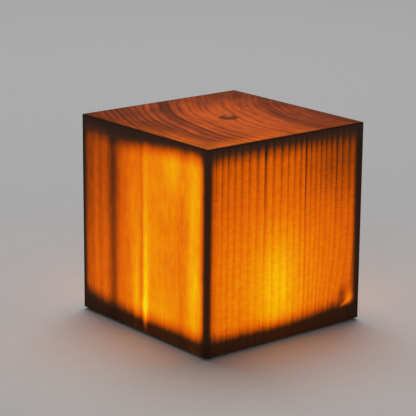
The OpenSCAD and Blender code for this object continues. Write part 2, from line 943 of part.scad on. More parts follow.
timber_cube();
corner_posts();
base_board();
base_screws();
rubber_feet();
pod_tray();
tray_screws();
pod_lid();
lid_screws();
battery_cell();
battery_pad();
control_board();
board_screws();
board_chips();
choke();
lead_connectors();
charge_lamp();
charging_socket();
socket_tongue();
port_liner();
light_board();
light_board_screws();
light_diodes();
opal_cap();
battery_lead();
light_lead();
switch_lead();
lead_clips();
lug_sleeve();
button_rim();
barrel_washer();
barrel_nut();
switch_body();
switch_contacts();
button_spring();
button_cap();
contact_bridge();
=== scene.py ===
"""A hollowed softwood cube lamp, lit from inside.

Everything is in metres in the lamp's own frame: +Z up, the origin on the table under the middle of the
cube. The two show faces are -X and -Y, and the charging port is in the +Y face. Materials work in
millimetres of that frame, because a joiner reads growth rings and wall thicknesses that way.
"""

import math

import bpy
from mathutils import Matrix, Vector


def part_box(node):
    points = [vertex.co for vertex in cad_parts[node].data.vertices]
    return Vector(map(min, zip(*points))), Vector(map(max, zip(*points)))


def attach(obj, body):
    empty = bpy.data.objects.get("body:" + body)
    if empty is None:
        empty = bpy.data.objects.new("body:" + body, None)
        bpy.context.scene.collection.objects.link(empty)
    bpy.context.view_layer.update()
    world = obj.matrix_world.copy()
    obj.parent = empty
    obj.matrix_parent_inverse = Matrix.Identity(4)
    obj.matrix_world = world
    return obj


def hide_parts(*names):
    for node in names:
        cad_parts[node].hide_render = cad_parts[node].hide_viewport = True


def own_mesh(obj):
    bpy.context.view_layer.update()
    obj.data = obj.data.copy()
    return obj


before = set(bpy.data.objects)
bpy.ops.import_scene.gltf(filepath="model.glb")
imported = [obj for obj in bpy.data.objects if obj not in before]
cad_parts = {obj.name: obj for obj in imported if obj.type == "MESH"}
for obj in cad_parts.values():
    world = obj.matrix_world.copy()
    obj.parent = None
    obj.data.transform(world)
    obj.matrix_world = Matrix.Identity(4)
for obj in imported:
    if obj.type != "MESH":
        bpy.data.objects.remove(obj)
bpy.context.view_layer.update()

MM = 0.001

# In millimetres: each side of the timber cube stands HALF from the middle, and its top is at TIMBER_TOP
HALF = round(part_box("timber_cube")[1].x / MM, 3)
TIMBER_TOP = round(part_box("timber_cube")[1].z / MM, 3)

# ---------------------------------------------------------------- the camera, which looks down a long lens

SENSOR = 36.0
FOCAL = 151.9
VIEW_TURN = math.radians(-39.34)
VIEW_RISE = math.radians(15.32)
VIEW_ROLL = math.radians(0.45)
VIEW_DISTANCE = 0.889
AIM_HEIGHT = 0.051
AIM_RIGHT = 0.00657
AIM_UP = -0.00519


def make_camera():
    """The camera faces the front corner of the cube and looks down on it a little."""
    back = Vector((math.sin(VIEW_TURN) * math.cos(VIEW_RISE),
                   -math.cos(VIEW_TURN) * math.cos(VIEW_RISE), math.sin(VIEW_RISE)))
    level = Vector((math.cos(VIEW_TURN), math.sin(VIEW_TURN), 0))
    upward = back.cross(level)
    right = level * math.cos(VIEW_ROLL) + upward * math.sin(VIEW_ROLL)
    up = upward * math.cos(VIEW_ROLL) - level * math.sin(VIEW_ROLL)
    data = bpy.data.cameras.new("camera")
    data.sensor_width = SENSOR
    data.lens = FOCAL
    data.clip_start = 0.02
    data.clip_end = 20
    camera = bpy.data.objects.new("camera", data)
    turn = Matrix((right, up, back)).transposed().to_4x4()
    place = Vector((0, 0, AIM_HEIGHT)) + back * VIEW_DISTANCE - right * AIM_RIGHT - up * AIM_UP
    camera.matrix_world = Matrix.Translation(place) @ turn
    bpy.context.scene.collection.objects.link(camera)
    bpy.context.scene.camera = camera


make_camera()

# ---------------------------------------------------------------- short names for shader nodes


def put(tree, socket, value):
    """Links a node's output to a socket, or sets the socket's own value."""
    if isinstance(value, bpy.types.NodeSocket):
        tree.links.new(value, socket)
    else:
        socket.default_value = value


def maths(tree, operation, a, b=0.0, c=0.0):
    node = tree.nodes.new("ShaderNodeMath")
    node.operation = operation
    for socket, value in zip(node.inputs, (a, b, c)):
        put(tree, socket, value)
    return node.outputs[0]


def add(tree, a, b):
    return maths(tree, "ADD", a, b)


def subtract(tree, a, b):
    return maths(tree, "SUBTRACT", a, b)


def times(tree, a, b):
    return maths(tree, "MULTIPLY", a, b)


def vector_maths(tree, operation, a, b):
    node = tree.nodes.new("ShaderNodeVectorMath")
    node.operation = operation
    put(tree, node.inputs[0], a)
    put(tree, node.inputs[1], b)
    return node.outputs[0]


def smooth(tree, value, start, end, low=0.0, high=1.0):
    """low below start, high past end, and a soft step between; start may be the larger."""
    if start > end:
        start, end, low, high = end, start, high, low
    node = tree.nodes.new("ShaderNodeMapRange")
    node.interpolation_type = "SMOOTHSTEP"
    for name, number in (("Value", value), ("From Min", start), ("From Max", end),
                         ("To Min", low), ("To Max", high)):
        put(tree, node.inputs[name], number)
    return node.outputs["Result"]


def bump_at(tree, value, middle, width):
    """1 at middle, falling off to both sides as a bell of that width."""
    off = maths(tree, "DIVIDE", subtract(tree, value, middle), width)
    return maths(tree, "EXPONENT", times(tree, maths(tree, "POWER", off, 2.0), -1.0))


def noise(tree, place, scale, detail=2.0, roughness=0.5):
    """Noise about 0.5 at that place; scale is in cycles per unit of the place."""
    node = tree.nodes.new("ShaderNodeTexNoise")
    put(tree, node.inputs["Vector"], place)
    put(tree, node.inputs["Scale"], scale)
    put(tree, node.inputs["Detail"], detail)
    put(tree, node.inputs["Roughness"], roughness)
    return node.outputs["Fac"]


def stretched(tree, place, x, y, z):
    return vector_maths(tree, "MULTIPLY", place, (x, y, z))


def split(tree, place):
    node = tree.nodes.new("ShaderNodeSeparateXYZ")
    put(tree, node.inputs[0], place)
    return node.outputs[0], node.outputs[1], node.outputs[2]


def joined(tree, x, y, z):
    node = tree.nodes.new("ShaderNodeCombineXYZ")
    for socket, value in zip(node.inputs, (x, y, z)):
        put(tree, socket, value)
    return node.outputs[0]


def curve(tree, value, points):
    """A free curve through (value, height) points, held flat past its ends."""
    low, high = points[0][0], points[-1][0]
    top = max(height for _, height in points)
    node = tree.nodes.new("ShaderNodeFloatCurve")
    line = node.mapping.curves[0]
    steps = [((x - low) / (high - low), y / top) for x, y in points]
    line.points[0].location = steps[0]
    line.points[1].location = steps[-1]
    for x, y in steps[1:-1]:
        line.points.new(x, y)
    node.mapping.update()
    along = tree.nodes.new("ShaderNodeMapRange")
    put(tree, along.inputs["Value"], value)
    put(tree, along.inputs["From Min"], low)
    put(tree, along.inputs["From Max"], high)
    put(tree, node.inputs["Value"], along.outputs["Result"])
    return times(tree, node.outputs["Value"], top)


def ramp(tree, value, stops):
    """A colour ramp through (place, colour) stops."""
    node = tree.nodes.new("ShaderNodeValToRGB")
    line = node.color_ramp
    line.elements[0].position, line.elements[0].color = stops[0][0], (*stops[0][1], 1)
    line.elements[1].position, line.elements[1].color = stops[-1][0], (*stops[-1][1], 1)
    for place, colour in stops[1:-1]:
        line.elements.new(place).color = (*colour, 1)
    put(tree, node.inputs["Fac"], value)
    return node.outputs["Color"]


def mixed(tree, share, a, b, how="MIX"):
    """Colour a where share is 0, and b, or a blended with b, where it is 1."""
    node = tree.nodes.new("ShaderNodeMix")
    node.data_type = "RGBA"
    node.blend_type = how
    put(tree, node.inputs["Factor"], share)
    for name, value in (("A", a), ("B", b)):
        sockets = [s for s in node.inputs if s.name == name and s.type == "RGBA"]
        put(tree, sockets[0], value if isinstance(value, bpy.types.NodeSocket) else (*value, 1))
    return [s for s in node.outputs if s.type == "RGBA"][0]


def place_mm(tree):
    """The surface point in millimetres of the lamp's frame."""
    node = tree.nodes.new("ShaderNodeTexCoord")
    return vector_maths(tree, "MULTIPLY", node.outputs["Object"], (1 / MM, 1 / MM, 1 / MM))


def new_group(name, inputs, outputs):
    """An empty shader node group with named sockets: (its tree, its inputs by name, its output node)."""
    tree = bpy.data.node_groups.new(name, "ShaderNodeTree")
    for socket, kind, start in inputs:
        made = tree.interface.new_socket(socket, in_out="INPUT", socket_type="NodeSocket" + kind)
        if start is not None:
            made.default_value = start
    for socket, kind in outputs:
        tree.interface.new_socket(socket, in_out="OUTPUT", socket_type="NodeSocket" + kind)
    given = tree.nodes.new("NodeGroupInput").outputs
    taken = tree.nodes.new("NodeGroupOutput").inputs
    return tree, given, taken


def use(tree, group, **values):
    """Places a group in a tree. A space in a socket's name is written as an underscore."""
    node = tree.nodes.new("ShaderNodeGroup")
    node.node_tree = group
    for name, value in values.items():
        put(tree, node.inputs[name.replace("_", " ")], value)
    return node.outputs


def new_material(name, **constants):
    """A material with one Principled shader, and its plain numbers set on the shader itself."""
    material = bpy.data.materials.new(name)
    material.use_nodes = True
    tree = material.node_tree
    shader = tree.nodes["Principled BSDF"]
    for socket, value in constants.items():
        shader.inputs[socket.replace("_", " ")].default_value = value
    return material, tree, shader


def relief(tree, shader, height, distance, strength=1.0):
    """Feeds a height, in units of that distance in metres, to the shader's normal."""
    node = tree.nodes.new("ShaderNodeBump")
    node.inputs["Strength"].default_value = strength
    node.inputs["Distance"].default_value = distance
    put(tree, node.inputs["Height"], height)
    put(tree, shader.inputs["Normal"], node.outputs["Normal"])


def dress(material, *nodes):
    """Gives CAD nodes a material."""
    for name in nodes:
        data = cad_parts[name].data
        data.materials.clear()
        data.materials.append(material)


# ---------------------------------------------------------------- the block's growth rings

# Where the tree's pith ran, beside the cube, and the radii between which its years are drawn
PITH_X, PITH_Y = 114.0, -35.0
HEART, BARK = 55.0, 186.0
# A year's usual growth, what a good spell adds and a poor one takes, and the radii of two good spells
USUAL_GROWTH, SPELL_GROWTH = 4.2, 1.0
GOOD_SPELL, NEXT_GOOD_SPELL = 60.0, 130.0
# How dark late wood is at the heart, in the first year and in the last, and the darker years, by radius
HEART_STRENGTH, INNER_STRENGTH, OUTER_STRENGTH = 0.5, 0.6, 0.45
DARK_YEARS = [(85, 0.7), (105, 0.85), (128, 0.8), (166, 0.7)]
# A small knot low in the -Y face, beside the far corner, which the rings swerve round
KNOT_X, KNOT_Z = 42.5, 12.0


def tree_years():
    """The radius at which each year ended, and how dark its late wood is, from the pith outwards."""
    ends = []
    radius = HEART
    while radius < BARK:
        turn = 2 * math.pi * (radius - GOOD_SPELL) / (NEXT_GOOD_SPELL - GOOD_SPELL)
        radius += USUAL_GROWTH + SPELL_GROWTH * math.cos(turn)
        ends.append(radius)
    fade = (OUTER_STRENGTH - INNER_STRENGTH) / (BARK - HEART)
    strengths = [INNER_STRENGTH + fade * (end - HEART) for end in ends]
    for place, strength in DARK_YEARS:
        nearest = min(range(len(ends)), key=lambda i: abs(ends[i] - place))
        strengths[nearest] = strength
    return list(zip(ends, strengths))


YEARS = tree_years()


def growth_rings():
    """Group: the distance from the pith, the year's late wood, and how strongly each year shows."""
    tree, given, taken = new_group(
        "growth rings", [("Place", "Vector", None), ("Sway", "Float", 0.6)],
        [("Radius", "Float"), ("Late wood", "Float"), ("Year strength", "Float"), ("Hair lines", "Float")])
    x, y, z = split(tree, given["Place"])
    beside_knot = times(tree, bump_at(tree, x, KNOT_X - 8, 14.0), bump_at(tree, z, KNOT_Z - 6, 24.0))
    near_face = smooth(tree, y, -20.0, -50.0)
    swerve = times(tree, times(tree, beside_knot, near_face), 5.0)
    across = subtract(tree, add(tree, x, swerve), PITH_X)
    along = subtract(tree, y, PITH_Y)
    far = maths(tree, "SQRT", add(tree, times(tree, across, across), times(tree, along, along)))
    slow = noise(tree, stretched(tree, given["Place"], 1.0, 1.0, 0.35), 0.035, 1.5)
    quick = noise(tree, stretched(tree, given["Place"], 1.0, 1.0, 0.2), 0.16, 1.0)
    wander = add(tree, times(tree, subtract(tree, slow, 0.5), 4.0), subtract(tree, quick, 0.5))
    radius = add(tree, far, times(tree, wander, given["Sway"]))
    years = curve(tree, radius, [(HEART, 0)] + [(end, i + 1) for i, (end, _) in enumerate(YEARS)])
    part = maths(tree, "FRACT", years)
    grown = maths(tree, "POWER", smooth(tree, part, 0.35, 0.97), 1.6)
    stopped = smooth(tree, part, 0.11, 0.0)
    late = maths(tree, "MAXIMUM", grown, stopped)
    strength = curve(tree, radius, [(HEART, HEART_STRENGTH)] + YEARS)
    angle = maths(tree, "ARCTAN2", along, times(tree, across, -1.0))
    hair_lines = noise(tree, joined(tree, radius, times(tree, angle, 6.0), 0.0), 0.42, 3.0, 0.7)
    put(tree, taken["Hair lines"], hair_lines)
    put(tree, taken["Radius"], radius)
    put(tree, taken["Late wood"], late)
    put(tree, taken["Year strength"], strength)
    return tree


def fibre():
    """Group: the fine streaks of softwood fibre along Z, and a slow mottling."""
    tree, given, taken = new_group(
        "fibre", [("Place", "Vector", None)], [("Streak", "Float"), ("Mottle", "Float"), ("Grit", "Float")])
    fine = noise(tree, stretched(tree, given["Place"], 1.0, 1.0, 0.03), 1.1, 3.0, 0.6)
    wide = noise(tree, stretched(tree, given["Place"], 1.0, 1.0, 0.05), 0.35, 2.0)
    put(tree, taken["Streak"], add(tree, times(tree, fine, 0.6), times(tree, wide, 0.4)))
    put(tree, taken["Mottle"], noise(tree, stretched(tree, given["Place"], 1.0, 1.0, 0.8), 0.16, 3.0, 0.6))
    put(tree, taken["Grit"], noise(tree, stretched(tree, given["Place"], 1.0, 1.0, 1.6), 1.4, 2.0, 0.6))
    return tree


RINGS = growth_rings()
FIBRE = fibre()

# ---------------------------------------------------------------- the light that comes through the timber

LAMP_HEIGHT = 28.0
# Half the width over which a wall's light dies away at its upright edges
SIDE_SOFT = 2.6

# The colour of the timber with light behind it, from unlit to the brightest, for an amount of 0 to 3
GLOW_FULL = 3.0
GLOW_STOPS = [
    (0.0, (0.0, 0.0, 0.0)),
    (0.027, (0.045, 0.010, 0.0015)),
    (0.052, (0.19, 0.030, 0.0010)),
    (0.10, (0.43, 0.062, 0.0006)),
    (0.155, (0.66, 0.102, 0.0004)),
    (0.24, (0.78, 0.155, 0.0004)),
    (0.333, (0.85, 0.235, 0.0004)),
    (0.53, (0.90, 0.37, 0.0006)),
    (0.66, (0.93, 0.47, 0.0010)),
    (0.83, (0.95, 0.58, 0.002)),
    (1.0, (0.86, 0.68, 0.008)),
]

# The same for the top, whose end grain is thick and lets only the red through, for an amount of 0 to 1
TOP_STOPS = [(0.0, (0.02, 0.004, 0.001)), (0.15, (0.085, 0.013, 0.0025)), (0.45, (0.23, 0.034, 0.006)),
             (0.8, (0.42, 0.062, 0.006)), (1.0, (0.54, 0.088, 0.007))]


def wall_window():
    """Group: 1 over the hollow behind a wall and 0 over its solid edges, where the light dies away."""
    tree, given, taken = new_group(
        "wall window",
        [("Across", "Float", 0.0), ("Height", "Float", 0.0), ("Left edge", "Float", 46.0),
         ("Right edge", "Float", 46.0), ("Bottom edge", "Float", 9.0), ("Top edge", "Float", 97.0),
         ("Bottom rough", "Float", 0.0), ("Top rough", "Float", 0.0)],
        [("Window", "Float")])
    left = add(tree, given["Across"], given["Left edge"])
    right = subtract(tree, given["Right edge"], given["Across"])
    bottom = add(tree, subtract(tree, given["Height"], given["Bottom edge"]), given["Bottom rough"])
    top = subtract(tree, subtract(tree, given["Top edge"], given["Height"]), given["Top rough"])
    window = times(tree, smooth(tree, left, -SIDE_SOFT, SIDE_SOFT),
                   smooth(tree, right, -SIDE_SOFT, SIDE_SOFT))
    bleed = times(tree, smooth(tree, left, -8.0, 2.0), smooth(tree, right, -8.0, 2.0))
    window = add(tree, times(tree, window, 0.95), times(tree, bleed, 0.05))
    window = times(tree, window, smooth(tree, bottom, -4.2, 6.2, 0.035, 1.0))
    window = times(tree, window, smooth(tree, top, -5.0, 6.5, 0.012, 1.0))
    put(tree, taken["Window"], window)
    return tree


def lamp_spread():
    """Group: how the light on a wall falls off from the point nearest the lamp."""
    tree, given, taken = new_group(
        "lamp spread",
        [("Across", "Float", 0.0), ("Height", "Float", 0.0), ("Lamp across", "Float", 0.0),
         ("Reach", "Float", 50.0), ("Fall", "Float", -1.5)],
        [("Light", "Float")])
    dx = subtract(tree, given["Across"], given["Lamp across"])
    dz = subtract(tree, given["Height"], LAMP_HEIGHT)
    off = add(tree, times(tree, dx, dx), times(tree, dz, dz))
    reach = times(tree, given["Reach"], given["Reach"])
    near = add(tree, maths(tree, "DIVIDE", off, reach), 1.0)
    put(tree, taken["Light"], maths(tree, "POWER", near, given["Fall"]))
    return tree


WINDOW = wall_window()
SPREAD = lamp_spread()

# The flat-sawn -X face, from its back edge at 0 to the front corner at 100, lets more light through in its
# front half. Each band is a place, a half width, and how much lighter it is than the wood around.
BACK_HALF, FRONT_HALF = 0.30, 1.05
FLAT_BANDS = [(11, 2, 0.15), (18, 3, 0.15), (26, 4, -0.2), (44, 3, 0.1), (48, 1.5, -0.3), (52, 2, 0.3),
              (80, 4, -0.25), (89, 4, 0.6)]
# Along the same face: the brightest streak, a second one beside it, and the dark line between them
BRIGHT_STREAK, SECOND_STREAK, DARK_LINE = 52.0, 44.2, 49.0


def flat_face_light(tree, y, z, place, grain):
    """The light through the -X face: wide upright bands, two clear streaks, and slow clouds."""
    across = subtract(tree, HALF, y)
    sway = noise(tree, stretched(tree, place, 1.0, 1.0, 0.5), 0.045, 2.0)
    fine_sway = noise(tree, stretched(tree, place, 1.0, 1.0, 0.6), 0.22, 1.0)
    drift = add(tree, subtract(tree, across, 1.0), times(tree, subtract(tree, sway, 0.5), 1.4))
    drift = add(tree, drift, times(tree, subtract(tree, fine_sway, 0.5), 0.7))
    bands = smooth(tree, drift, 20.0, 56.0, BACK_HALF, FRONT_HALF)
    for middle, half_width, lighter in FLAT_BANDS:
        bands = add(tree, bands, times(tree, bump_at(tree, drift, middle, half_width), lighter))
    rough = times(tree, subtract(tree, grain["Streak"], 0.5), 3.0)
    dip = add(tree, smooth(tree, across, 84.0, 60.0, -0.6, 0.8),
              times(tree, bump_at(tree, across, 38.0, 15.0), 1.6))
    low_corner = smooth(tree, across, 20.0, 4.0, 0.0, 2.0)
    window = use(tree, WINDOW, Across=subtract(tree, across, HALF), Height=z, Left_edge=46.6,
                 Right_edge=46.2, Bottom_edge=9.8, Top_edge=96.8,
                 Bottom_rough=subtract(tree, rough, low_corner),
                 Top_rough=add(tree, rough, dip))["Window"]
    spread = use(tree, SPREAD, Across=across, Height=z, Lamp_across=56.0, Reach=60.0, Fall=-0.35)["Light"]
    streak = times(tree, bump_at(tree, drift, BRIGHT_STREAK, 1.9), smooth(tree, z, 76.0, 12.0, 0.0, 1.05))
    partner = times(tree, bump_at(tree, drift, SECOND_STREAK, 1.7), smooth(tree, z, 62.0, 16.0, -0.12, 0.55))
    drop = times(tree, bump_at(tree, across, BRIGHT_STREAK - 0.1, 1.9), bump_at(tree, z, 13.5, 6.5))
    tail = times(tree, bump_at(tree, across, BRIGHT_STREAK + 0.2, 1.4), bump_at(tree, z, 9.0, 3.6))
    split_line = times(tree, bump_at(tree, drift, DARK_LINE, 0.55), smooth(tree, z, 92.0, 60.0, 0.0, -0.30))
    cloud = noise(tree, stretched(tree, place, 1.0, 1.0, 0.6), 0.075, 3.0, 0.6)
    clouds = times(tree, subtract(tree, cloud, 0.5), smooth(tree, drift, 48.0, 56.0, 0.25, 0.85))
    amber = times(tree, times(tree, bump_at(tree, across, 71.0, 14.0), bump_at(tree, z, 48.0, 28.0)), -0.16)
    low_down = times(tree, smooth(tree, z, 78.0, 22.0, -0.16, 0.30), smooth(tree, across, 42.0, 24.0))
    clouds = add(tree, add(tree, clouds, amber), low_down)
    light = times(tree, times(tree, bands, spread), add(tree, 1.12, clouds))
    light = add(tree, add(tree, light, streak), add(tree, partner, split_line))
    light = add(tree, light, times(tree, drop, 1.3))
    upper = times(tree, bump_at(tree, across, 75.0, 10.0), bump_at(tree, z, 90.0, 14.0))
    light = add(tree, light, times(tree, upper, 0.50))
    light = times(tree, maths(tree, "MAXIMUM", light, 0.0), window)
    figure = noise(tree, stretched(tree, place, 1.0, 1.0, 0.45), 0.30, 3.0, 0.65)
    hairs = noise(tree, stretched(tree, place, 1.0, 1.0, 0.025), 0.9, 3.0, 0.7)
    texture = add(tree, times(tree, figure, 0.62), times(tree, hairs, 0.50))
    light = times(tree, light, add(tree, 0.44, texture))
    return add(tree, light, times(tree, times(tree, tail, subtract(tree, 1.0, window)), 0.30))


def quarter_face_light(tree, x, z, place, rings, grain):
    """The light through the -Y face: many upright rings, darkest near the top, and a bright patch."""
    rough = times(tree, subtract(tree, grain["Streak"], 0.5), 2.4)
    late = times(tree, rings["Late wood"], maths(tree, "POWER", rings["Year strength"], 2.2))
    right_dip = times(tree, smooth(tree, x, 5.0, 48.0), -2.6)
    window = use(tree, WINDOW, Across=x, Height=z, Left_edge=46.6, Right_edge=44.7, Bottom_edge=9.9,
                 Top_edge=97.6, Bottom_rough=add(tree, rough, right_dip),
                 Top_rough=add(tree, rough, times(tree, late, 4.0)))["Window"]
    wide = use(tree, SPREAD, Across=x, Height=z, Lamp_across=-9.0, Reach=62.0, Fall=-1.25)["Light"]
    near = times(tree, bump_at(tree, x, -5.5, 11.5), bump_at(tree, z, LAMP_HEIGHT + 1, 22.0))
    light = add(tree, times(tree, wide, 0.87), times(tree, near, 0.95))
    depth = add(tree, smooth(tree, z, 20.0, 88.0, 0.26, 1.0), smooth(tree, z, 62.0, 98.0, 0.0, 0.7))
    early = add(tree, 1.0, times(tree, subtract(tree, rings["Late wood"], 0.5), -0.16))
    through = times(tree, maths(tree, "EXPONENT", times(tree, times(tree, late, depth), -1.0)), early)
    shaded = times(tree, smooth(tree, x, -6.0, 34.0), smooth(tree, z, 48.0, 92.0, 0.0, 0.40))
    through = times(tree, through, subtract(tree, 1.0, shaded))
    ripple = noise(tree, stretched(tree, place, 0.35, 1.0, 1.0), 0.95, 1.5)
    hairs = noise(tree, stretched(tree, place, 1.0, 1.0, 0.02), 0.62, 2.0, 0.7)
    ripples = add(tree, 1.0, times(tree, subtract(tree, ripple, 0.5), 0.50))
    ripples = add(tree, ripples, times(tree, subtract(tree, hairs, 0.5), 0.5))
    light = times(tree, times(tree, times(tree, add(tree, light, 0.10), through), ripples), window)
    wedge = times(tree, bump_at(tree, x, KNOT_X - 3.9, 3.6), bump_at(tree, z, KNOT_Z + 4.5, 4.6))
    light = times(tree, light, subtract(tree, 1.0, times(tree, wedge, 0.6)))
    leak_x = KNOT_X + 0.5
    leak = times(tree, bump_at(tree, x, leak_x, 2.3), bump_at(tree, z, KNOT_Z + 1.4, 2.6))
    below_leak = subtract(tree, subtract(tree, z, KNOT_Z + 0.2),
                          times(tree, subtract(tree, x, leak_x), 0.42))
    tail = times(tree, bump_at(tree, below_leak, 0.0, 1.1), bump_at(tree, x, KNOT_X - 1.9, 2.8))
    return add(tree, light, add(tree, times(tree, leak, 0.62), times(tree, tail, 0.50)))


def hidden_side_light(tree, across, z, rings, grain):
    """The light through the two faces away from the show corner."""
    rough = times(tree, subtract(tree, grain["Streak"], 0.5), 4.0)
    window = use(tree, WINDOW, Across=across, Height=z, Bottom_rough=rough, Top_rough=rough)["Window"]
    wide = use(tree, SPREAD, Across=across, Height=z, Reach=58.0, Fall=-1.2)["Light"]
    near = times(tree, bump_at(tree, across, 0.0, 13.0), bump_at(tree, z, LAMP_HEIGHT + 1, 20.0))
    strength = maths(tree, "POWER", rings["Year strength"], 1.5)
    lines = times(tree, times(tree, rings["Late wood"], strength), smooth(tree, z, 20.0, 95.0, 0.35, 1.3))
    through = maths(tree, "EXPONENT", times(tree, lines, -1.0))
    light = add(tree, add(tree, times(tree, wide, 0.85), times(tree, near, 0.8)), 0.1)
    return times(tree, times(tree, light, through), window)


# The top's light is out at its bevelled edge and full a little inside it, as distances from the middle
TOP_OUT, TOP_FULL = HALF - 0.4, HALF - 2.1
# A dark ring over the top's -X half and a fainter one nearer the pith, as radii, and a stain's place
FAR_RING, NEAR_RING = 141.5, 89.0
STAIN_X, STAIN_Y = 28.0, -18.0


def top_light(tree, x, y, place, rings, grain):
    """The light through the thick end-grain top: reddish, brightest over the middle and the front."""
    late = times(tree, rings["Late wood"], rings["Year strength"])
    middle = times(tree, bump_at(tree, x, 2.0, 42.0), bump_at(tree, y, -8.0, 62.0))
    cloud = noise(tree, place, 0.055, 3.0, 0.6)
    light = add(tree, add(tree, 0.16, times(tree, middle, 0.78)),
                times(tree, subtract(tree, cloud, 0.5), 0.75))
    far_ring = times(tree, bump_at(tree, rings["Radius"], FAR_RING, 3.2),
                     smooth(tree, y, -35.0, 30.0, 0.15, 0.62))
    near_ring = times(tree, bump_at(tree, rings["Radius"], NEAR_RING, 4.0), 0.30)
    stain = times(tree, times(tree, bump_at(tree, x, STAIN_X, 8.0), bump_at(tree, y, STAIN_Y, 20.0)), 0.35)
    stain = add(tree, stain, near_ring)
    far_side = add(tree, smooth(tree, rings["Radius"], 124.0, 144.0, 0.15, 1.55),
                   smooth(tree, rings["Radius"], 98.0, 86.0, 0.0, 0.40))
    uneven = smooth(tree, grain["Mottle"], 0.3, 0.65, 0.45, 1.25)
    lines = times(tree, times(tree, late, far_side), uneven)
    through = maths(tree, "EXPONENT", times(tree, lines, -1.0))
    inset = maths(tree, "MAXIMUM", maths(tree, "ABSOLUTE", x), maths(tree, "ABSOLUTE", y))
    through = times(tree, through, smooth(tree, inset, TOP_OUT, TOP_FULL, 0.10, 1.0))
    hairs = times(tree, subtract(tree, rings["Hair lines"], 0.5), 2.4)
    through = times(tree, through, add(tree, 1.0, hairs))
    light = times(tree, light, times(tree, through, subtract(tree, 1.0, add(tree, far_ring, stain))))
    streaks = add(tree, 0.85, times(tree, grain["Streak"], 0.3))
    return times(tree, maths(tree, "MAXIMUM", light, 0.0), streaks)


# A side's light starts this deep under its surface, and is full at the second depth
FACE_STARTS, FACE_FULL = 1.0, 0.6
# The unlit timber, from early to late wood, on the sides and on the top
SIDE_BODY = [(0.0, (0.068, 0.034, 0.018)), (0.5, (0.057, 0.028, 0.015)), (1.0, (0.040, 0.019, 0.011))]
TOP_BODY = [(0.0, (0.050, 0.025, 0.014)), (0.5, (0.042, 0.022, 0.014)), (1.0, (0.028, 0.017, 0.012))]
# Its colour near the sides' upper edge, lighter there as painted light; on the bevel, darker there as
# painted shade; behind bright light; and near the top's front corner, darker there as painted shade
UPPER_PAINTED_LIGHT_BODY = (0.100, 0.050, 0.034)
BEVEL_PAINTED_SHADE = (0.012, 0.006, 0.004)
LIT_BODY = (0.010, 0.002, 0.0003)
FRONT_PAINTED_SHADE_BODY = (0.036, 0.015, 0.004)
FRONT_GLOW = [(0.0, (0.0, 0.0, 0.0)), (1.0, (0.44, 0.085, 0.0))]


